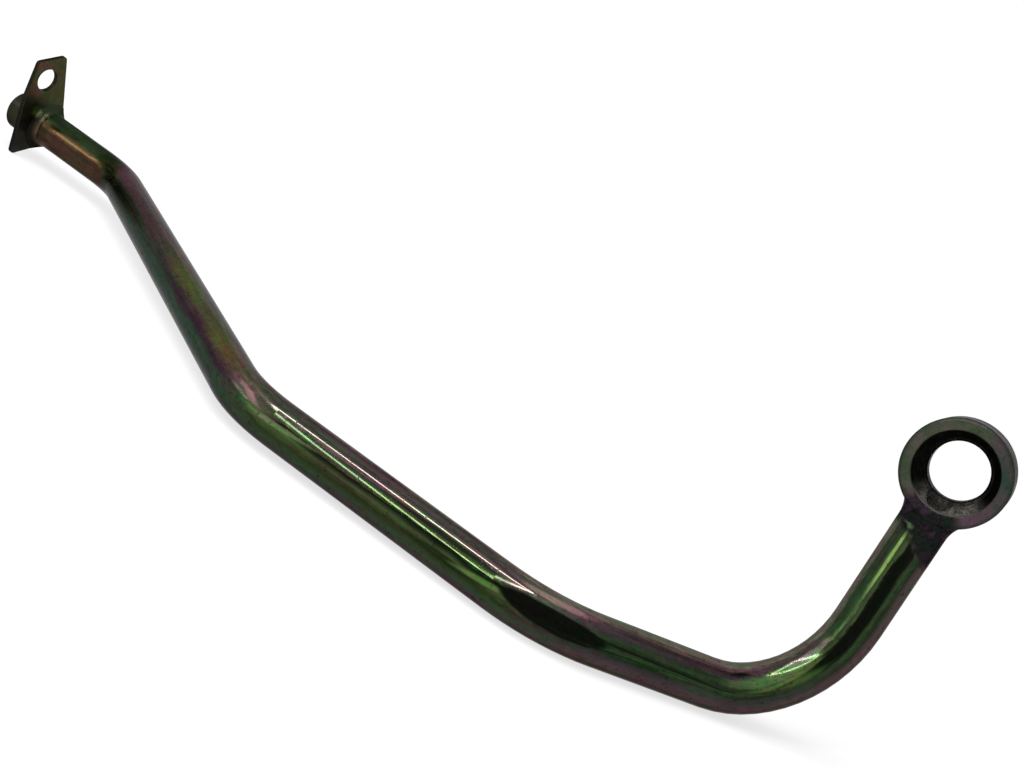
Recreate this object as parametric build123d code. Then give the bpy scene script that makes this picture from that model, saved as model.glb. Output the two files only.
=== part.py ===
from build123d import *
import math
import os

# Oil pump pipe: a bent steel tube with a bolt-on plate and spigot at one end and a ring eye at the other.
# Millimetres. It is drawn in its bending frame: the flange leg runs along +X from the plate's front face,
# the first four legs are level, and the last leg stands upright. The finished part is then leaned over
# until it rests on its low leg and the plate's lower corner, with Z = 0 under it.

# Tube
pipe_od = 14.0
pipe_wall = 1.5

# Legs of the tube, each measured between the corners where its straight runs would meet
flange_leg = 44.0
long_leg = 193.5
middle_leg = 105.5
low_leg = 84.5
eye_leg = 81.5

# Turns between the legs in degrees: right, left, left, then up
first_turn = 33.0
second_turn = 36.0
third_turn = 43.0
upright_turn = 90.0
bend_radius = 40.0
upright_bend_radius = 32.0

# Spigot: the end of the tube, behind the plate. The sealing ring's groove is left at the tube's own size
# against the plate, and the rest is sized up.
spigot_od = 15.8
spigot_length = 14.0
seal_groove = 2.6
spigot_lead_in = 0.8
groove_corner = 0.3
spigot_taper = 2.0

# Flange plate: places are measured from the tube's axis, side to the left of the front view, up along Z
plate_thickness = 2.0
plate_edge_round = 0.4
plate_bore_gap = 0.05
tube_land = 0.6
bolt_hole_d = 9.2
bolt_hole_side = 10.4
bolt_hole_up = 18.8
lug_top_side = 17.9
lug_top_height = 24.8
lug_tip_side = 6.0
lug_tip_height = 30.2
lug_corner_round = 1.6
foot_side = 12.0
foot_depth = 14.2
foot_corner_round = 1.4
waist_side = 17.0
waist_height = 9.0

# Eye: a turned ring, square to the last leg and open to the front
eye_od = 29.4
eye_width = 15.0
eye_turn = 2.5
eye_edge_round = 1.0
mouth_d = 22.6
mouth_depth = 4.0
mouth_chamfer = 0.3
seat_angle = 45.0
chamber_d = 18.6
lip_thickness = 6.0
lip_bore_d = 16.4
lip_chamfer = 0.4
socket_floor = 12.6
socket_gap = 0.05
oil_way_d = 8.0

# Brazed filler: the fillet on the plate, then the collar at the eye
flange_fillet = 3.4
eye_braze_hollow = 9.0

pipe_r = pipe_od / 2
pipe_bore_r = pipe_r - pipe_wall
spigot_r = spigot_od / 2
spigot_bore_r = spigot_r - pipe_wall
land_r = pipe_r + tube_land
hole_r = bolt_hole_d / 2


def heading(degrees_left):
    """Level direction, turned to the left from +X."""
    angle = math.radians(degrees_left)
    return Vector(math.cos(angle), math.sin(angle), 0)


# Route of the tube
directions = [
    heading(0),
    heading(-first_turn),
    heading(-first_turn + second_turn),
    heading(-first_turn + second_turn + third_turn),
]
low_direction = directions[-1]
rise = math.radians(upright_turn)
eye_direction = low_direction * math.cos(rise) + Vector(0, 0, 1) * math.sin(rise)
corners = [directions[0] * flange_leg]
for direction, leg in zip(directions[1:], [long_leg, middle_leg, low_leg]):
    corners.append(corners[-1] + direction * leg)
eye_centre = corners[-1] + eye_direction * eye_leg
tube_start = Vector(-plate_thickness - seal_groove, 0, 0)
tube_end = eye_centre - eye_direction * socket_floor

# Planes: the plate's front face, and the eye's middle with its X towards the tube's far side
plate_front = Plane(origin=(0, 0, 0), x_dir=(0, 1, 0), z_dir=(1, 0, 0))
level_axis = heading(-90 + eye_turn)
eye_axis = (level_axis - eye_direction * level_axis.dot(eye_direction)).normalized()
eye_middle = Plane(origin=eye_centre, x_dir=eye_direction, z_dir=eye_axis)


def along_route(radius):
    """A round bar along the tube's route."""
    route = FilletPolyline(
        tube_start, *corners, tube_end, radius=[bend_radius] * 3 + [upright_bend_radius]
    )
    return sweep(Plane(origin=route @ 0, z_dir=route % 0) * Circle(radius), path=route)


def turned_on_x(*points):
    """A turned solid on the X axis, from (x, radius) points."""
    return revolve(make_face(Polyline(*points, close=True)), Axis.X)


def make_pipe():
    spigot_start = tube_start.X
    spigot_end = -plate_thickness - spigot_length
    spigot = turned_on_x(
        (spigot_end, 0),
        (spigot_end, spigot_r - spigot_lead_in),
        (spigot_end + spigot_lead_in, spigot_r),
        (spigot_start - groove_corner, spigot_r),
        (spigot_start, spigot_r - groove_corner),
        (spigot_start, 0),
    )
    spigot_bore = turned_on_x(
        (spigot_end, 0),
        (spigot_end, spigot_bore_r),
        (spigot_start - spigot_taper, spigot_bore_r),
        (spigot_start, pipe_bore_r),
        (spigot_start, 0),
    )
    return along_route(pipe_r) + spigot - along_route(pipe_bore_r) - spigot_bore


def plate_outline():
    """Blank of the plate in the front view: a lug for the bolt, a foot, and a land round the tube."""
    reach = math.hypot(lug_tip_side, lug_tip_height)
    lug_tip_angle = math.degrees(math.atan2(lug_tip_height, -lug_tip_side))
    tangent_angle = lug_tip_angle - math.degrees(math.acos(land_r / reach))
    lug_tangent = Vector(land_r, 0).rotate(Axis.Z, tangent_angle)
    foot_reach = math.hypot(foot_side, foot_depth)
    foot_angle = math.degrees(math.atan2(-foot_depth, -foot_side))
    foot_tangent = Vector(land_r, 0).rotate(
        Axis.Z, foot_angle + math.degrees(math.acos(land_r / foot_reach))
    )
    lug_top = Vector(-lug_top_side, lug_top_height)
    lug_tip = Vector(-lug_tip_side, lug_tip_height)
    foot = Vector(-foot_side, -foot_depth)
    waist = Vector(-waist_side, waist_height)
    blank = make_face(Polyline(lug_top, lug_tip, lug_tangent, foot_tangent, foot, waist, close=True))
    lug_corners = blank.vertices().sort_by(Axis.Y)[-2:]
    blank = fillet(lug_corners, lug_corner_round)
    foot_corner = blank.vertices().sort_by(Axis.Y)[0]
    blank = fillet(foot_corner, foot_corner_round)
    return blank + Circle(land_r)


def make_flange_plate(outline):
    blank = extrude(plate_front * outline, amount=-plate_thickness)
    flats = blank.faces().filter_by(Plane.YZ)
    blank = fillet(flats.edges(), plate_edge_round)
    holes = Circle(pipe_r + plate_bore_gap)
    holes += Pos(-bolt_hole_side, bolt_hole_up) * Circle(hole_r)
    return blank - extrude(plate_front * holes, amount=-plate_thickness)


def make_ring_blank():
    """The eye as a plain rounded disc, square to Z."""
    blank = Cylinder(eye_od / 2, eye_width)
    return fillet(blank.edges().filter_by(GeomType.CIRCLE), eye_edge_round)


def make_stepped_bore():
    """What is bored out of the eye: mouth, coned seat, oil chamber and the lip's bolt bore."""
    front = eye_width / 2
    lip_front = lip_thickness - front
    mouth_r = mouth_d / 2
    chamber_r = chamber_d / 2
    lip_r = lip_bore_d / 2
    seat_depth = (mouth_r - chamber_r) / math.tan(math.radians(seat_angle))
    section = Polyline(
        (0, front),
        (mouth_r + mouth_chamfer, front),
        (mouth_r, front - mouth_chamfer),
        (mouth_r, front - mouth_depth),
        (chamber_r, front - mouth_depth - seat_depth),
        (chamber_r, lip_front),
        (lip_r + lip_chamfer, lip_front),
        (lip_r, lip_front - lip_chamfer),
        (lip_r, lip_chamfer - front),
        (lip_r + lip_chamfer, -front),
        (0, -front),
        close=True,
    )
    return revolve(Plane.XZ * make_face(section), Axis.Z)


def make_eye():
    towards_tube = Plane(origin=(0, 0, 0), z_dir=(-1, 0, 0))
    socket = towards_tube * Pos(0, 0, socket_floor + eye_od / 2) * Cylinder(pipe_r + socket_gap, eye_od)
    oil_way = towards_tube * Pos(0, 0, socket_floor / 2) * Cylinder(oil_way_d / 2, socket_floor)
    return eye_middle * (make_ring_blank() - make_stepped_bore() - socket - oil_way)


def hollow_fillet(radius):
    """Concave ring of filler round the X axis, from a wall at X = 0 out to the tube's surface."""
    outer_rim = (0, pipe_r + radius)
    tube_rim = (radius, pipe_r)
    section = Line((0, pipe_r), outer_rim) + Line(tube_rim, (0, pipe_r))
    section += RadiusArc(outer_rim, tube_rim, -radius)
    return revolve(make_face(section), Axis.X)


def make_flange_braze(outline):
    on_plate = extrude(plate_front * outline, amount=flange_fillet)
    return hollow_fillet(flange_fillet) & on_plate


def make_eye_braze():
    """Hollow collar of filler, tangent to the tube and the ring's round side, no wider than the ring."""
    ring_r = eye_od / 2
    hollow_r = pipe_r + eye_braze_hollow
    hollow_x = math.sqrt((ring_r + eye_braze_hollow) ** 2 - hollow_r ** 2)
    ring_share = ring_r / (ring_r + eye_braze_hollow)
    on_ring = (hollow_x * ring_share, hollow_r * ring_share)
    on_tube = (hollow_x, pipe_r)
    section = Line(on_tube, (on_ring[0], pipe_r)) + Line((on_ring[0], pipe_r), on_ring)
    section += RadiusArc(on_ring, on_tube, -eye_braze_hollow)
    collar = Rot(0, 180, 0) * revolve(make_face(section), Axis.X)
    ring_width = Box(2 * eye_od, 2 * eye_od, eye_width)
    return eye_middle * ((collar & ring_width) - make_ring_blank())


def leaned(degrees):
    """Turn about the low leg's axis, which lifts the flange end when positive."""
    pivot = corners[-1]
    return Pos(*pivot) * Location((0, 0, 0), tuple(low_direction), degrees) * Pos(*-pivot)


def resting_lean(plate):
    """Lean at which the plate's lower corner is level with the underside of the low leg."""
    reach = low_direction.cross(tube_start - corners[-1]).Z
    lean = 0.0
    for _ in range(5):
        drop = -pipe_r - (leaned(lean) * plate).bounding_box().min.Z
        lean += math.degrees(drop / reach)
    return lean


outline = plate_outline()
drawn = {
    "pipe": make_pipe(),
    "flange_plate": make_flange_plate(outline),
    "eye": make_eye(),
    "flange_braze": make_flange_braze(outline),
    "eye_braze": make_eye_braze(),
}

lean = leaned(resting_lean(drawn["flange_plate"]))
box = Compound([lean * solid for solid in drawn.values()]).bounding_box()
resting_place = Pos(-box.center().X, -box.center().Y, -box.min.Z) * lean

os.makedirs("parts", exist_ok=True)
for name, solid in drawn.items():
    export_step(resting_place * solid, f"parts/{name}.step")
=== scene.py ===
import math

import bpy
from mathutils import Matrix, Vector

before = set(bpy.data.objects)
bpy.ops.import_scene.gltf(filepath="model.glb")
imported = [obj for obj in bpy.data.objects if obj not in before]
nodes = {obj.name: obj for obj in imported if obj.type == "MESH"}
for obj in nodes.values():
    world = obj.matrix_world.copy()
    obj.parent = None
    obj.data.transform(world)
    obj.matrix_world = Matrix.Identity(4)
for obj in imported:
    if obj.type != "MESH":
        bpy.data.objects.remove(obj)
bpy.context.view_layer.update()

# How much of the light the plated metal gives back where it is seen almost edge on.
EDGE_TINT = (0.46, 0.45, 0.46, 1.0)

# The film's colours, with the tones of painted shade, highlights and reflections, written as they look,
# 0 to 255.
FILM_AND_SHADE_TONES = {
    "pale": (98, 92, 88),
    "grey": (74, 68, 70),
    "dim": (55, 54, 54),
    "rose": (90, 76, 80),
    "violet": (70, 56, 62),
    "purple": (54, 44, 54),
    "brown": (58, 42, 36),
    "tan": (66, 56, 48),
    "straw": (91, 73, 52),
    "olive": (74, 74, 58),
    "leaf": (58, 68, 46),
    "green": (42, 57, 40),
    "lime": (92, 118, 76),
    "moss": (38, 44, 26),
    "teal": (51, 66, 59),
    "deep_teal": (20, 34, 33),
    "bottle": (28, 36, 26),
    "black": (17, 18, 14),
}
# The violet in what the brazing burnt, on the tube's neck and at the ring.
NECK_VIOLET = (36, 32, 34)
RING_VIOLET = (54, 38, 52)


def linear(rgb):
    """The linear values that the shaders take, from a colour as it looks."""

    def one(level):
        level = level / 255
        return level / 12.92 if level <= 0.04045 else ((level + 0.055) / 1.055) ** 2.4

    return (*[one(level) for level in rgb], 1.0)


class Graph:
    """Short calls for building one material's or world's nodes."""

    def __init__(self, tree):
        self.tree = tree
        tree.nodes.clear()

    def node(self, kind, inputs=(), **settings):
        made = self.tree.nodes.new(kind)
        for name, value in settings.items():
            setattr(made, name, value)
        for name, value in dict(inputs).items():
            self.put(made.inputs[name], value)
        return made

    def put(self, socket, value):
        if isinstance(value, bpy.types.NodeSocket):
            self.tree.links.new(value, socket)
        else:
            socket.default_value = value

    def math(self, operation, a, b=0.0, c=0.0, clamp=False):
        made = self.node("ShaderNodeMath", operation=operation, use_clamp=clamp)
        for socket, value in zip(made.inputs, (a, b, c)):
            self.put(socket, value)
        return made.outputs[0]

    def add(self, *values):
        total = values[0]
        for value in values[1:]:
            total = self.math("ADD", total, value)
        return total

    def times(self, *values):
        total = values[0]
        for value in values[1:]:
            total = self.math("MULTIPLY", total, value)
        return total

    def vector(self, operation, a, b=(0.0, 0.0, 0.0), result="Vector"):
        made = self.node("ShaderNodeVectorMath", operation=operation)
        self.put(made.inputs[0], a)
        self.put(made.inputs[1], b)
        return made.outputs[result]

    def dot(self, vector, direction):
        return self.vector("DOT_PRODUCT", vector, direction, "Value")

    def length(self, vector):
        return self.vector("LENGTH", vector, result="Value")

    def scaled(self, vector, amount):
        made = self.node("ShaderNodeVectorMath", operation="SCALE")
        self.put(made.inputs[0], vector)
        self.put(made.inputs["Scale"], amount)
        return made.outputs[0]

    def place(self):
        return self.node("ShaderNodeTexCoord").outputs["Object"]

    def facing(self):
        return self.node("ShaderNodeNewGeometry").outputs["Normal"]

    def part(self, vector, axis):
        return self.node("ShaderNodeSeparateXYZ", {"Vector": vector}).outputs[axis]

    def noise(self, vector, scale, detail=3.0, rough=0.5, warp=0.0):
        made = self.node(
            "ShaderNodeTexNoise",
            {
                "Vector": vector,
                "Scale": scale,
                "Detail": detail,
                "Roughness": rough,
                "Distortion": warp,
            },
        )
        return made.outputs["Fac"]

    def wander(self, noise, amount):
        """The noise about zero, so many units either way."""
        return self.math("MULTIPLY", self.math("SUBTRACT", noise, 0.5), amount)

    def band(self, value, low, high, to_low=0.0, to_high=1.0, smooth="SMOOTHSTEP"):
        """From to_low at low to to_high at high, and level beyond them."""
        made = self.node(
            "ShaderNodeMapRange",
            {
                "Value": value,
                "From Min": low,
                "From Max": high,
                "To Min": to_low,
                "To Max": to_high,
            },
            interpolation_type=smooth,
        )
        return made.outputs[0]

    def between(self, value, low, full_low, full_high, high):
        """One from full_low to full_high, fading to nothing at low and at high."""
        return self.times(self.band(value, low, full_low), self.band(value, high, full_high))

    def ramp(self, value, stops):
        """Colours along the value. A stop's colour is a name in FILM_AND_SHADE_TONES or three numbers."""
        made = self.node("ShaderNodeValToRGB", {"Fac": value})
        elements = made.color_ramp.elements
        while len(elements) < len(stops):
            elements.new(1.0)
        for element, (at, colour) in zip(elements, stops):
            element.position = at
            element.color = linear(FILM_AND_SHADE_TONES.get(colour, colour))
        return made.outputs[0]

    def mix(self, amount, a, b):
        made = self.node("ShaderNodeMix", data_type="RGBA")
        sockets = {socket.identifier: socket for socket in (*made.inputs, *made.outputs)}
        self.put(sockets["Factor_Float"], amount)
        self.put(sockets["A_Color"], a)
        self.put(sockets["B_Color"], b)
        return sockets["Result_Color"]

    def specks(self, place, scale, least):
        """Fine specks, wherever a small noise passes least."""
        return self.band(self.noise(place, scale, 2.0, 0.5), least, 0.70)

    def burnt(self, place, violet):
        """Where the brazing burnt the film: nearly black, with soft green, grey and violet blotches."""
        blotch = self.noise(place, 190.0, 3.0, 0.6, 0.8)
        fine = self.noise(place, 620.0, 3.0, 0.6)
        tones = [
            (0.32, (20, 22, 20)),
            (0.42, (28, 36, 30)),
            (0.49, (22, 22, 21)),
            (0.55, (34, 30, 34)),
            (0.63, violet),
            (0.69, (30, 30, 28)),
            (0.80, (58, 58, 52)),
        ]
        return self.ramp(self.add(blotch, self.wander(fine, 0.35)), tones)

    def bump(self, height, distance, strength):
        made = self.node(
            "ShaderNodeBump", {"Height": height, "Distance": distance, "Strength": strength}
        )
        return made.outputs[0]

    def metal(self, colour, rough, normal, metallic=1.0):
        """The plated steel's surface, from its colour, roughness and relief."""
        shader = self.node(
            "ShaderNodeBsdfPrincipled",
            {
                "Base Color": colour,
                "Metallic": metallic,
                "Roughness": rough,
                "Specular Tint": EDGE_TINT,
                "Normal": normal,
            },
        )
        self.finish("ShaderNodeOutputMaterial", shader)

    def finish(self, kind, shader):
        out = self.node(kind)
        self.put(out.inputs["Surface"], shader.outputs[0])


def new_material(name):
    material = bpy.data.materials.new(name)
    material.use_nodes = True
    return material, Graph(material.node_tree)


# The tube's straight runs meet at these corners, from the spigot's end to the upright leg.
CORNERS = [
    (-0.18960, 0.05191, 0.01382),
    (-0.14125, 0.05192, 0.01301),
    (0.02100, -0.05344, 0.00865),
    (0.12634, -0.04790, 0.00700),
    (0.18504, 0.01288, 0.00700),
]
# The upright leg is past these places in X, and is counted along between these heights.
UPRIGHT_X = (0.15, 0.16)
UPRIGHT_FOOT, UPRIGHT_TOP, UPRIGHT_RISE = 0.014, 0.084, 0.070
# On each run, the way across the tube that its bands of colour are counted along.
ACROSS = [
    (0.016, 0.262, 0.965),
    (0.344, 0.496, 0.797),
    (-0.003, 0.332, 0.943),
    (-0.262, 0.253, 0.931),
    (-0.996, -0.090, 0.015),
]
# Where each bend begins and ends, along the runs.
BENDS = [(0.0365, 0.0603), (0.2289, 0.2549), (0.3316, 0.3632), (0.4000, 0.4570)]
# Where the film's colours change over: past the middle of the first bend, and at the others.
CHANGES = [(0.0470, 0.0640), *BENDS[1:]]

# Bands across each run, lower side (0) to upper side (1): film colours with painted shade and
# reflections.
FILM_AND_SHADE_BANDS = [
    [
        (0.05, "tan"), (0.30, "brown"), (0.43, "brown"), (0.51, "straw"), (0.57, "straw"),
        (0.70, "green"), (0.96, "green"),
    ],
    [
        (0.04, "deep_teal"), (0.14, "teal"), (0.38, "teal"), (0.56, "violet"), (0.72, "violet"),
        (0.85, "rose"), (0.96, "purple"),
    ],
    [
        (0.02, "grey"), (0.10, "dim"), (0.18, "green"), (0.27, "moss"), (0.39, "leaf"),
        (0.46, "bottle"), (0.51, "black"), (0.56, "leaf"), (0.66, "dim"), (0.73, "pale"),
        (0.79, "dim"), (0.86, "grey"), (0.92, "violet"), (0.98, "pale"),
    ],
    [
        (0.02, "tan"), (0.10, "violet"), (0.24, "purple"), (0.36, "bottle"), (0.43, "green"),
        (0.51, "bottle"), (0.58, "green"), (0.69, "purple"), (0.84, "violet"), (0.93, "pale"),
    ],
    [
        (0.02, "grey"), (0.10, "violet"), (0.20, "bottle"), (0.29, "green"), (0.34, "black"),
        (0.535, "black"), (0.57, "leaf"), (0.635, "green"), (0.68, "lime"), (0.725, "green"),
        (0.80, "green"), (0.86, "dim"), (0.97, "pale"),
    ],
]
# The second run's far half, with painted shade too, is greener above and purple in the middle.
FAR_SECOND = [
    (0.02, "deep_teal"), (0.09, "teal"), (0.25, "teal"), (0.37, "purple"), (0.43, "purple"),
    (0.52, "violet"), (0.66, "olive"), (0.77, "olive"), (0.87, "pale"), (0.97, "grey"),
]

# Patches in the film, painted highlights and painted reflections of dark things: place along the runs
# and across, half their length and width, slant, colour and strength. Places along are in metres,
# and those across run from -1 below to 1 above.
PATCHES_AND_PAINTED_REFLECTIONS = [
    (0.0480, 0.25, 0.011, 0.42, -0.22, (30, 40, 23), 0.9),
    (0.0670, 0.62, 0.013, 0.34, 0.0, (84, 60, 70), 0.7),
    (0.0680, 0.90, 0.020, 0.16, 0.0, (50, 40, 48), 0.8),
    (0.0820, -0.28, 0.030, 0.42, 0.06, (45, 48, 38), 0.88),
    (0.0630, -0.27, 0.007, 0.24, 0.0, (78, 86, 66), 0.80),
    (0.1560, 0.42, 0.007, 0.30, 0.0, (94, 68, 56), 0.5),
    (0.1710, 0.36, 0.012, 0.30, 0.0, (84, 88, 48), 0.6),
    (0.2150, 0.30, 0.009, 0.30, 0.0, (86, 90, 48), 0.6),
    (0.2260, 0.35, 0.007, 0.25, 0.0, (98, 70, 56), 0.5),
    (0.2455, 0.11, 0.0085, 0.21, -0.12, (98, 74, 84), 0.75),
    (0.2455, 0.12, 0.0040, 0.11, -0.12, (160, 120, 132), 0.8),
    (0.2560, -0.20, 0.012, 0.19, -0.06, (58, 88, 50), 0.8),
    (0.2575, -0.10, 0.0100, 0.09, 0.08, (102, 130, 86), 0.8),
    (0.2720, -0.33, 0.015, 0.09, 0.0, (46, 51, 34), 0.7),
    (0.3130, 0.33, 0.0195, 0.085, 0.0, (26, 32, 22), 0.88),
    (0.3170, -0.37, 0.012, 0.14, 0.0, (25, 33, 20), 0.85),
    (0.3305, -0.18, 0.0095, 0.095, 0.16, (88, 110, 64), 0.82),
    (0.3485, -0.03, 0.0145, 0.39, -0.05, (13, 15, 13), 1.0),
    (0.3470, 0.66, 0.009, 0.10, 0.0, (146, 118, 124), 0.8),
    (0.3830, -0.03, 0.026, 0.034, -0.09, (16, 22, 16), 0.9),
    (0.3700, -0.22, 0.018, 0.030, 0.06, (20, 24, 20), 0.7),
    (0.3945, 0.25, 0.0085, 0.13, 0.0, (30, 52, 31), 0.75),
    (0.3945, -0.40, 0.0085, 0.11, 0.0, (44, 60, 46), 0.75),
    (0.4180, 0.24, 0.016, 0.22, 0.04, (78, 102, 68), 0.85),
    (0.4230, -0.02, 0.013, 0.07, 0.06, (90, 108, 62), 0.75),
    (0.4330, 0.42, 0.008, 0.11, 0.0, (122, 112, 116), 0.8),
    (0.4285, -0.21, 0.010, 0.13, 0.0, (66, 88, 48), 0.75),
    (0.4565, -0.10, 0.0255, 0.20, 0.03, (14, 15, 13), 0.96),
    (0.4545, 0.42, 0.0050, 0.13, 0.0, (58, 72, 52), 0.75),
    (0.4720, 0.35, 0.011, 0.055, 0.0, (124, 152, 92), 0.85),
    (0.4808, -0.20, 0.0010, 0.35, 0.0, (82, 82, 68), 0.7),
]

# The film's own play of green and violet over the bands, and its finer grain.
PLAY = [
    (0.36, (196, 255, 208)),
    (0.47, (240, 252, 226)),
    (0.54, (255, 240, 228)),
    (0.65, (255, 204, 244)),
]
GRAIN = [(0.36, (230, 255, 232)), (0.64, (255, 232, 252))]
# A painted highlight up the neck's upper side, and the olive grey over the spigot.
NECK_PAINTED_HIGHLIGHT = [(0.18, (24, 26, 23)), (0.33, (86, 108, 76)), (0.50, (72, 96, 68)), (0.68, (40, 54, 42))]
SPIGOT_OLIVE = [(0.35, (48, 48, 37)), (0.50, (42, 43, 35)), (0.65, (50, 42, 38))]
# Places in X: within the plate, behind it and before it.
IN_PLATE, BEHIND_PLATE, BEFORE_PLATE = -0.1868, -0.1874, -0.1860
# Places along the runs, each from where something begins to show to where it shows in full.
BY_PLATE = (0.0165, 0.0065)
TOP_BY_PLATE = (0.0300, 0.0180)
DULL_AFTER_FIRST = (0.0500, 0.0650)
FAR_HALF_OF_SECOND = (0.10, 0.19)
BRIGHT_FROM_THIRD = (0.2300, 0.2560)
PAST_THIRD_BEND = (0.3620, 0.3740)
NECK = (0.4795, 0.4825)
# The fourth bend shows in full between the middle two.
IN_FOURTH_BEND = (0.3980, 0.4080, 0.4360, 0.4460)


def way_along(g, place):
    """How far along the runs a point is, counted at the corners."""
    along = None
    for start, end in zip(CORNERS, CORNERS[1:]):
        run = Vector(end) - Vector(start)
        far = g.dot(g.vector("SUBTRACT", place, start), run.normalized())
        part = g.band(far, 0.0, run.length, 0.0, run.length, "LINEAR")
        along = part if along is None else g.add(along, part)
    up = g.part(place, "Z")
    risen = g.band(up, UPRIGHT_FOOT, UPRIGHT_TOP, 0.0, UPRIGHT_RISE, "LINEAR")
    return g.add(along, g.times(risen, g.band(g.part(place, "X"), *UPRIGHT_X)))


def height_across(g, along, normal):
    """How high a point stands across the tube, from -1 to 1."""
    way = ACROSS[0]
    for (low, high), before, after in zip(BENDS, ACROSS, ACROSS[1:]):
        turn = tuple(b - a for a, b in zip(before, after))
        way = g.vector("ADD", way, g.scaled(turn, g.band(along, low, high, smooth="LINEAR")))
    return g.dot(normal, g.vector("NORMALIZE", way))


def banded(g, along, across, cloud):
    """The bands of film colour with painted shade and painted reflections, each run's in turn."""
    near, far = g.ramp(across, FILM_AND_SHADE_BANDS[1]), g.ramp(across, FAR_SECOND)
    later_runs = [g.mix(g.band(along, *FAR_HALF_OF_SECOND), near, far)]
    later_runs += [g.ramp(across, bands) for bands in FILM_AND_SHADE_BANDS[2:]]
    colour = g.ramp(across, FILM_AND_SHADE_BANDS[0])
    walked = g.add(along, g.wander(cloud, 0.012))
    for (low, high), bands in zip(CHANGES, later_runs):
        colour = g.mix(g.band(walked, low, high), colour, bands)
    return colour


def patched(g, colour, along, height, ragged):
    """Patches with ragged edges, many of them painted highlights and painted reflections. The stronger
    a patch, the sharper its edge.
    """
    for at, level, half_length, half_width, slant, tone, strength in PATCHES_AND_PAINTED_REFLECTIONS:
        far = g.math("DIVIDE", g.math("SUBTRACT", along, at), half_length)
        off = g.math("SUBTRACT", height, level)
        off = g.math("DIVIDE", g.math("MULTIPLY_ADD", far, -slant, off), half_width)
        reach = g.math("SQRT", g.add(g.times(far, far), g.times(off, off)))
        faint = 1.0 - strength
        soft = 0.10 + 2.2 * faint
        reach = g.math("MULTIPLY_ADD", ragged, 0.20 + 2.8 * faint, reach)
        cover = g.band(reach, 1.0 + soft, 1.0 - soft, 0.0, strength)
        colour = g.mix(cover, colour, linear(tone))
    return colour


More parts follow.
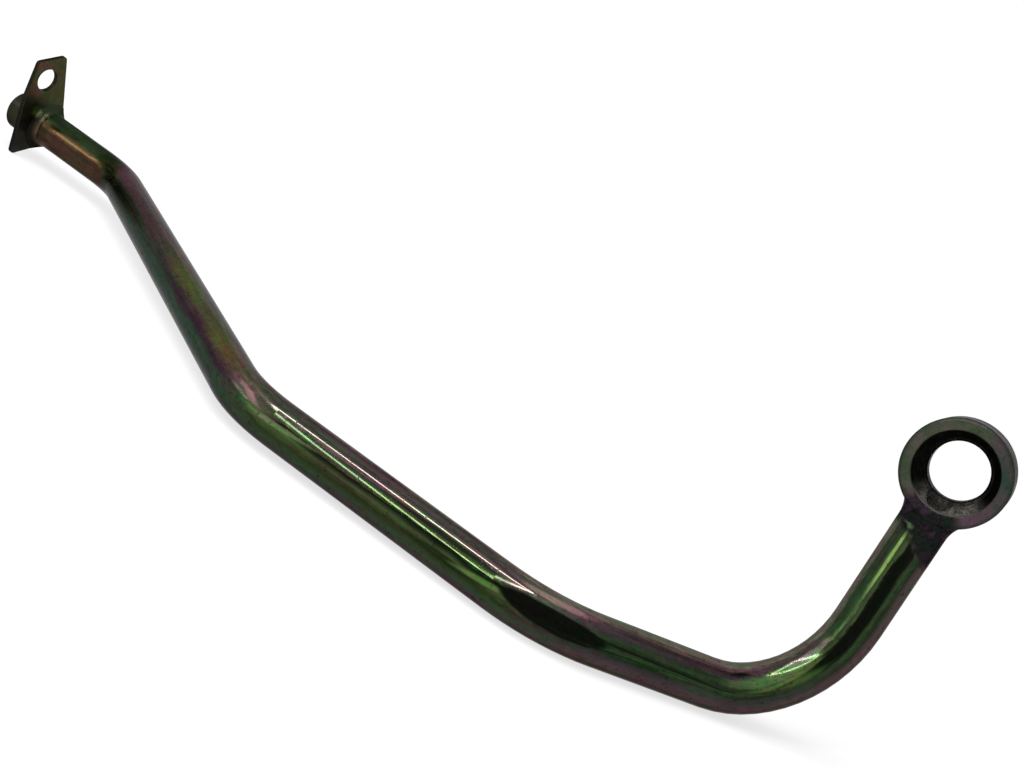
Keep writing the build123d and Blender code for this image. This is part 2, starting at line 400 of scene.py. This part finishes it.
def chromate_tube(name):
    """The drawn tube: bands and patches of the film with painted shade, highlights and reflections,
    dark at the ring, dull by the plate and painted paler there.
    """
    material, g = new_material(name)
    place, normal = g.place(), g.facing()
    along = way_along(g, place)
    height = height_across(g, along, normal)
    x = g.part(place, "X")

    # Streaks run along the tube: the noise is read by the way the surface faces, and slowly by place.
    drawn = g.vector("ADD", normal, g.vector("MULTIPLY", place, (7.0, 5.0, 9.0)))
    streak = g.noise(drawn, 3.4, 5.0, 0.6, 0.3)
    fine_streak = g.noise(drawn, 15.0, 4.0, 0.65)
    cloud = g.noise(place, 60.0, 4.0, 0.6, 0.6)
    mottle = g.noise(place, 480.0, 4.0, 0.65)

    shift = g.add(g.wander(streak, 0.14), g.wander(cloud, 0.17))
    shift = g.add(shift, g.wander(fine_streak, 0.11), g.wander(mottle, 0.05))
    across = g.math("ADD", g.math("MULTIPLY_ADD", height, 0.5, 0.5), shift, clamp=True)
    torn = g.wander(g.noise(drawn, 7.0, 4.0, 0.65), 1.1)
    bitten = g.wander(g.noise(place, 200.0, 4.0, 0.65), 0.8)
    # The bands and patches hold painted shade, painted highlights and painted reflections.
    colour = patched(g, banded(g, along, across, cloud), along, height, g.add(torn, bitten))

    # Play of colour, then light and dark streaks, then dull specks.
    play = g.ramp(g.noise(drawn, 4.2, 6.0, 0.7, 0.6), PLAY)
    grain = g.ramp(g.noise(place, 560.0, 4.0, 0.7, 0.5), GRAIN)
    colour = g.vector("MULTIPLY", g.vector("MULTIPLY", colour, play), grain)
    value = g.add(1.32, g.wander(fine_streak, 1.5), g.wander(mottle, 1.1), g.wander(streak, 0.8))
    colour = g.scaled(colour, value)
    specks = g.specks(place, 900.0, 0.64)
    colour = g.mix(g.times(specks, 0.5), colour, linear((20, 20, 17)))

    # Towards the ring the tube is burnt dark by the brazing, and the spigot is plain olive grey.
    neck = g.band(g.add(along, g.wander(cloud, 0.014), g.wander(mottle, 0.006)), *NECK)
    # A painted highlight up the neck's upper side, broken by blotches, over the burnt film.
    neck_highlight = g.band(g.add(height, g.wander(cloud, 0.5)), 0.12, 0.36)
    neck_highlight = g.times(neck_highlight, g.band(g.noise(place, 210.0, 3.0, 0.6), 0.44, 0.55), 0.9)
    burnt = g.mix(neck_highlight, g.burnt(place, NECK_VIOLET), g.ramp(height, NECK_PAINTED_HIGHLIGHT))
    colour = g.mix(neck, colour, burnt)
    spigot = g.band(x, IN_PLATE, BEHIND_PLATE)
    colour = g.mix(spigot, colour, g.ramp(cloud, SPIGOT_OLIVE))

    # By the plate the tube is duller, and below its upper side it is painted paler as painted light.
    by_plate = g.band(g.add(along, g.wander(cloud, 0.006), g.wander(mottle, 0.004)), *BY_PLATE)
    by_plate = g.times(by_plate, g.band(x, IN_PLATE, BEFORE_PLATE))
    painted_light_by_plate = g.times(by_plate, g.band(height, 0.60, 0.28, 0.0, 1.8))
    colour = g.scaled(colour, g.add(1.0, painted_light_by_plate))

    # The bright drawn steel shows best from the third run on, and the first run is a little glossier
    # than the second. The upper side is dull by the plate and past the third bend.
    rough = g.band(along, *BRIGHT_FROM_THIRD, 0.23, 0.085)
    rough = g.math("MINIMUM", rough, g.band(along, *DULL_AFTER_FIRST, 0.19, 0.23))
    rough = g.add(rough, g.wander(g.noise(drawn, 6.0, 4.0, 0.6), 0.07), g.wander(mottle, 0.05))
    fourth_bend = g.between(along, *IN_FOURTH_BEND)
    top_by_plate = g.times(g.band(along, *TOP_BY_PLATE), g.band(height, 0.25, 0.42))
    far_top = g.times(g.band(along, *PAST_THIRD_BEND), g.band(height, 0.34, 0.50))
    dull = g.add(g.times(far_top, g.math("SUBTRACT", 1.0, fourth_bend)), top_by_plate)
    rougher = [
        (fourth_bend, 0.07),
        (dull, 0.24),
        (specks, 0.2),
        (neck, 0.30),
        (spigot, 0.15),
        (by_plate, 0.32),
    ]
    for where, amount in rougher:
        rough = g.math("MULTIPLY_ADD", where, amount, rough)

    pits = g.times(g.noise(place, 1500.0, 2.0), 0.14)
    crust = g.times(neck, g.noise(place, 700.0, 4.0, 0.7), 3.0)
    relief = g.add(g.times(fine_streak, 0.4), pits, g.times(specks, -0.5), crust)
    g.metal(colour, rough, g.bump(relief, 0.00004, 0.5))
    return material


# The ring's middle, its front, and the ways up from the tube and to the side.
RING_MIDDLE = (0.186386, 0.011582, 0.088479)
RING_FRONT = Vector((0.043482, -0.998915, -0.016641))
RING_UP = Vector((0.016502, -0.015936, 0.999737))
RING_SIDE = RING_UP.cross(RING_FRONT)
# Across the ring's width, and from its middle out: the lip's edge, the mouth's edge and the rim.
RING_WITHIN = (-0.0075, -0.0072, 0.0071, 0.0075)
PAST_LIP = (0.0083, 0.0088)
IN_MOUTH = (0.01150, 0.01135)
ON_RIM = (0.0134, 0.0143)
# The tube's way in through the ring's wall, from its middle out and across its width.
WAY_IN_RADIUS, WAY_IN_DEPTH = (0.0140, 0.0135), (0.0045, 0.0042)
# The face is greener on one side and more violet on the other, and the turned rim darker.
RING_GREEN = [(0.34, (54, 66, 48)), (0.5, (70, 72, 60)), (0.66, (84, 70, 70))]
RING_ROSE = [(0.34, (44, 60, 52)), (0.5, (74, 62, 66)), (0.66, (86, 62, 74))]
RING_RIM = [(0.34, (38, 52, 42)), (0.46, (54, 56, 50)), (0.54, (58, 50, 54)), (0.66, (70, 56, 64))]
# The bore is painted dark as shade, and is paler on the side towards the tube.
BORE_PAINTED_SHADE = [(0.35, (13, 14, 12)), (0.5, (19, 20, 18)), (0.65, (27, 27, 24))]
BORE_PALE_LOWER = [(0.38, (36, 36, 33)), (0.5, (62, 61, 57)), (0.64, (92, 88, 80))]
TURNING_PITCH = 0.00042


def chromate_ring(name):
    """The turned ring: green-grey and violet face, bore painted dark as shade, and burnt dark by the
    tube.
    """
    material, g = new_material(name)
    place = g.place()
    arm = g.vector("SUBTRACT", place, RING_MIDDLE)
    depth = g.dot(arm, RING_FRONT)
    flat = g.vector("SUBTRACT", arm, g.scaled(RING_FRONT, depth))
    radius = g.length(flat)
    toward_up = g.math("DIVIDE", g.dot(flat, RING_UP), radius)
    toward_side = g.math("DIVIDE", g.dot(flat, RING_SIDE), radius)
    cloud = g.noise(place, 110.0, 4.0, 0.6, 0.7)
    fine = g.noise(place, 420.0, 4.0, 0.65)
    grit = g.noise(place, 1600.0, 3.0, 0.65)

    blend = g.add(cloud, g.wander(fine, 0.3))
    rose_side = g.band(g.add(toward_side, g.wander(cloud, 0.9)), -0.1, 0.6)
    colour = g.mix(rose_side, g.ramp(blend, RING_GREEN), g.ramp(blend, RING_ROSE))
    rim = g.band(g.add(radius, g.wander(cloud, 0.0006)), *ON_RIM)
    colour = g.mix(rim, colour, g.ramp(g.add(cloud, g.wander(fine, 0.5)), RING_RIM))
    by_tube = g.band(g.add(toward_up, g.wander(cloud, 0.25)), -0.74, -0.90)
    colour = g.mix(by_tube, colour, g.burnt(place, RING_VIOLET))

    # The bore and the tube's way in are painted dark as shade.
    bore = g.times(g.band(radius, *IN_MOUTH), g.between(depth, *RING_WITHIN))
    way_in = g.band(g.math("ABSOLUTE", depth), *WAY_IN_DEPTH)
    way_in = g.times(g.band(radius, *WAY_IN_RADIUS), way_in)
    inside = g.math("MAXIMUM", bore, way_in)
    # The bore's side towards the tube is paler, rougher and less metallic.
    pale_lower_bore = g.add(toward_up, g.times(toward_side, -0.25), g.wander(fine, 0.35))
    pale_lower_bore = g.times(g.band(pale_lower_bore, -0.45, -0.85), g.band(radius, *PAST_LIP))
    pale_lower_tones = g.ramp(g.add(fine, g.wander(grit, 0.5)), BORE_PALE_LOWER)
    colour = g.mix(inside, colour, g.mix(pale_lower_bore, g.ramp(fine, BORE_PAINTED_SHADE), pale_lower_tones))
    specks = g.specks(place, 1100.0, 0.62)
    colour = g.mix(g.times(specks, 0.4), colour, linear((26, 25, 23)))
    colour = g.scaled(colour, g.add(1.0, g.wander(grit, 0.7)))

    # Turning marks run round the ring.
    turning = g.times(g.add(radius, g.wander(fine, 0.00012)), 2 * math.pi / TURNING_PITCH)
    rings = g.math("SINE", turning)
    relief = g.add(g.times(fine, 0.5), g.times(grit, 0.8), g.times(rings, 0.22), g.times(specks, -0.6))
    pale_lower_inside = g.times(inside, pale_lower_bore)
    rough = g.band(g.noise(place, 160.0, 4.0, 0.6), 0.3, 0.7, 0.34, 0.50)
    rough = g.math("MULTIPLY_ADD", pale_lower_inside, 0.25, rough)
    metallic = g.math("MULTIPLY_ADD", pale_lower_inside, -0.7, 1.0)
    g.metal(colour, rough, g.bump(relief, 0.00005, 0.7), metallic)
    return material


# The plate's front at the tube's middle, and the ways up, to the lug's side and out of it.
PLATE_FRONT = (-0.185240, 0.051910, 0.013734)
PLATE_UP = (0.016502, 0.0, 0.999864)
PLATE_SIDE = (0.0, 1.0, 0.0)
PLATE_OUT = (0.999864, 0.000132, -0.016502)
# From the plate's foot to the top of its lug, and the straw colour over the lug.
PLATE_LEVELS = [
    (0.02, (42, 42, 38)),
    (0.14, (33, 34, 30)),
    (0.32, (42, 39, 34)),
    (0.44, (43, 47, 34)),
    (0.56, (44, 48, 33)),
    (0.66, (52, 50, 35)),
    (0.78, (56, 50, 38)),
    (0.88, (62, 54, 46)),
    (0.97, (72, 68, 54)),
]
LUG_STRAW = [(0.36, (44, 64, 34)), (0.5, (74, 56, 38)), (0.64, (80, 50, 54))]
# Painted highlights: place from the plate's front, colour and strength.
PAINTED_GLINTS = [
    ((0.0004, -0.0087, 0.0056), (118, 132, 90), 0.85),
    ((0.0, -0.0030, 0.0112), (40, 60, 44), 0.5),
]


def chromate_plate(name, is_filler):
    """The stamped plate or its filler: olive and straw on the lug, dark round the tube and at edges,
    with painted highlights.
    """
    material, g = new_material(name)
    place = g.place()
    arm = g.vector("SUBTRACT", place, PLATE_FRONT)
    high = g.dot(arm, PLATE_UP)
    cloud = g.noise(place, 130.0, 4.0, 0.6, 0.7)
    fine = g.noise(place, 520.0, 4.0, 0.65)
    if is_filler:
        out = g.add(g.dot(arm, PLATE_OUT), g.wander(fine, 0.0008))
        above = g.band(g.add(high, g.wander(cloud, 0.006)), 0.002, 0.007)
        by_tube = g.mix(above, linear((66, 57, 43)), linear((46, 58, 38)))
        by_wall = g.mix(above, linear((25, 24, 19)), linear((40, 48, 33)))
        colour = g.mix(g.band(out, 0.0005, 0.0026), by_wall, by_tube)
        colour = g.scaled(colour, g.band(out, 0.0018, 0.0031, 1.0, 2.4))
    else:
        level = g.add(high, g.wander(cloud, 0.014), g.wander(fine, 0.004))
        colour = g.ramp(g.band(level, -0.014, 0.030, smooth="LINEAR"), PLATE_LEVELS)
        straw = g.ramp(g.add(cloud, g.wander(fine, 0.3)), LUG_STRAW)
        colour = g.mix(g.times(g.band(high, 0.004, 0.016), 0.75), colour, straw)
        lug_side = g.band(g.add(g.dot(arm, PLATE_SIDE), g.wander(cloud, 0.014)), -0.012, -0.003)
        lug_side = g.times(lug_side, g.band(high, 0.006, 0.014), 0.6)
        colour = g.mix(lug_side, colour, linear((48, 62, 34)))
    # Painted highlights on the filler and on the plate above the tube.
    for at, tone, strength in PAINTED_GLINTS:
        off = g.length(g.vector("SUBTRACT", arm, at))
        painted_glint = g.band(g.add(off, g.wander(fine, 0.003)), 0.0030, 0.0004)
        colour = g.mix(g.times(painted_glint, strength), colour, linear(tone))
    specks = g.specks(place, 1100.0, 0.64)
    colour = g.mix(g.times(specks, 0.4), colour, linear((24, 24, 20)))
    if not is_filler:
        edge = g.band(g.math("ABSOLUTE", g.dot(g.facing(), PLATE_OUT)), 0.90, 0.55)
        colour = g.mix(g.times(edge, 0.75), colour, linear((20, 22, 20)))
    colour = g.scaled(colour, g.add(1.05, g.wander(fine, 0.7)))
    relief = g.add(g.times(fine, 0.5), g.noise(place, 1800.0, 3.0, 0.6), g.times(specks, -0.6))
    rough = g.band(g.noise(place, 120.0, 4.0, 0.6), 0.3, 0.7, 0.24, 0.42)
    g.metal(colour, rough, g.bump(relief, 0.00005, 0.6))
    return material


def burnt_filler(name):
    """The collar at the ring: dark, pitted and mottled with violet and green."""
    material, g = new_material(name)
    place = g.place()
    cloud = g.noise(place, 230.0, 4.0, 0.65, 0.8)
    fine = g.noise(place, 700.0, 4.0, 0.7)
    colour = g.scaled(g.burnt(place, RING_VIOLET), g.add(1.0, g.wander(fine, 0.8)))
    relief = g.add(g.times(cloud, 0.8), g.times(fine, 1.6), g.noise(place, 1800.0, 3.0, 0.6))
    g.metal(colour, g.band(fine, 0.3, 0.7, 0.35, 0.60), g.bump(relief, 0.00009, 0.8))
    return material


def dress(node, material):
    slots = nodes[node].data.materials
    if len(slots):
        slots[0] = material
    else:
        slots.append(material)


dress("pipe", chromate_tube("chromate_tube"))
dress("eye", chromate_ring("chromate_ring"))
dress("flange_plate", chromate_plate("chromate_plate", is_filler=False))
dress("flange_braze", chromate_plate("chromate_plate_filler", is_filler=True))
dress("eye_braze", burnt_filler("burnt_filler"))


def seen_directly(g):
    """One for the camera's rays and for reflections, nothing for the light that falls on things."""
    path = g.node("ShaderNodeLightPath").outputs
    seen = g.math("MAXIMUM", path["Is Camera Ray"], path["Is Glossy Ray"])
    return g.math("MAXIMUM", seen, path["Is Transmission Ray"])


def make_floor():
    """Pale, nearly white where it is seen or reflected, with the object's shadow kept."""
    bpy.ops.mesh.primitive_plane_add(size=60.0, location=(0.0, 0.0, 0.0))
    floor = bpy.context.object
    floor.name = "floor"
    material, g = new_material("pale_floor")
    matt = g.node("ShaderNodeBsdfDiffuse", {"Color": (0.86, 0.86, 0.86, 1.0)})
    white = g.node("ShaderNodeEmission", {"Color": (1.0, 1.0, 1.0, 1.0), "Strength": 1.0})
    mixed = g.node("ShaderNodeMixShader", {"Fac": g.math("MULTIPLY", seen_directly(g), 0.70)})
    g.put(mixed.inputs[1], matt.outputs[0])
    g.put(mixed.inputs[2], white.outputs[0])
    g.finish("ShaderNodeOutputMaterial", mixed)
    floor.data.materials.append(material)


def make_world():
    world = bpy.data.worlds.new("studio")
    world.use_nodes = True
    g = Graph(world.node_tree)
    strength = g.math("MULTIPLY_ADD", seen_directly(g), 0.30, 0.70)
    light = g.node("ShaderNodeBackground", {"Color": (1.0, 1.0, 1.0, 1.0), "Strength": strength})
    g.finish("ShaderNodeOutputWorld", light)
    bpy.context.scene.world = world


def hang(name, data, turn, place):
    lamp = bpy.data.objects.new(name, data)
    bpy.context.scene.collection.objects.link(lamp)
    lamp.matrix_world = Matrix.Translation(place) @ turn.to_4x4()
    lamp.visible_camera = False
    return lamp


def make_sky():
    """A wide soft light from above, which only the floor's shadow shows."""
    data = bpy.data.lights.new("soft_sky", "SUN")
    data.energy = 1.6
    data.angle = math.radians(50.0)
    turn = Vector((0.35, 0.30, -1.0)).to_track_quat("-Z", "Y").to_matrix()
    hang("soft_sky", data, turn, Vector((0.0, 0.0, 2.0))).visible_glossy = False


def make_tube_light(name, start, end, target, width, glow):
    """A long soft tube light from start to end, turned to face the target."""
    start, end, target = Vector(start), Vector(end), Vector(target)
    middle = (start + end) / 2
    x_way = (end - start).normalized()
    back = middle - target
    z_way = (back - x_way * back.dot(x_way)).normalized()
    y_way = z_way.cross(x_way)
    data = bpy.data.lights.new(name, "AREA")
    data.shape = "RECTANGLE"
    data.size = (end - start).length
    data.size_y = width
    data.energy = glow * math.pi * data.size * width
    hang(name, data, Matrix((x_way, y_way, z_way)).transposed(), middle)


# Four tube lights make a frame above the pipe, facing its middle runs. A fifth hangs far to the left.
LOW_LEFT, LOW_RIGHT = (-0.258, -0.650, 0.555), (-0.087, -0.795, 0.440)
HIGH_RIGHT, HIGH_LEFT = (0.170, -0.200, 0.880), (-0.385, -0.255, 0.740)
FAR_LEFT_START, FAR_LEFT_END = (-0.70, -0.70, 0.28), (-0.88, -0.34, 0.36)
MIDDLE_RUNS, NEAR_PLATE = (0.08, -0.05, 0.01), (-0.15, 0.04, 0.01)

make_floor()
make_world()
make_sky()
make_tube_light("low_light", LOW_LEFT, LOW_RIGHT, MIDDLE_RUNS, 0.050, 17.0)
make_tube_light("right_light", LOW_RIGHT, HIGH_RIGHT, MIDDLE_RUNS, 0.045, 14.0)
make_tube_light("high_light", HIGH_RIGHT, HIGH_LEFT, MIDDLE_RUNS, 0.046, 15.5)
make_tube_light("left_light", HIGH_LEFT, LOW_LEFT, MIDDLE_RUNS, 0.028, 18.0)
make_tube_light("far_left_light", FAR_LEFT_START, FAR_LEFT_END, NEAR_PLATE, 0.10, 3.0)

camera_data = bpy.data.cameras.new("camera")
camera_data.sensor_width = 36.0
camera_data.lens = 49.22
camera_data.clip_start = 0.01
camera = bpy.data.objects.new("camera", camera_data)
bpy.context.scene.collection.objects.link(camera)
camera.location = (0.222137, -0.376796, 0.123198)
camera.rotation_euler = [math.radians(a) for a in (77.35187, -28.63646, 28.54324)]
bpy.context.scene.camera = camera
bpy.context.scene.view_settings.view_transform = "Standard"

bpy.context.view_layer.update()
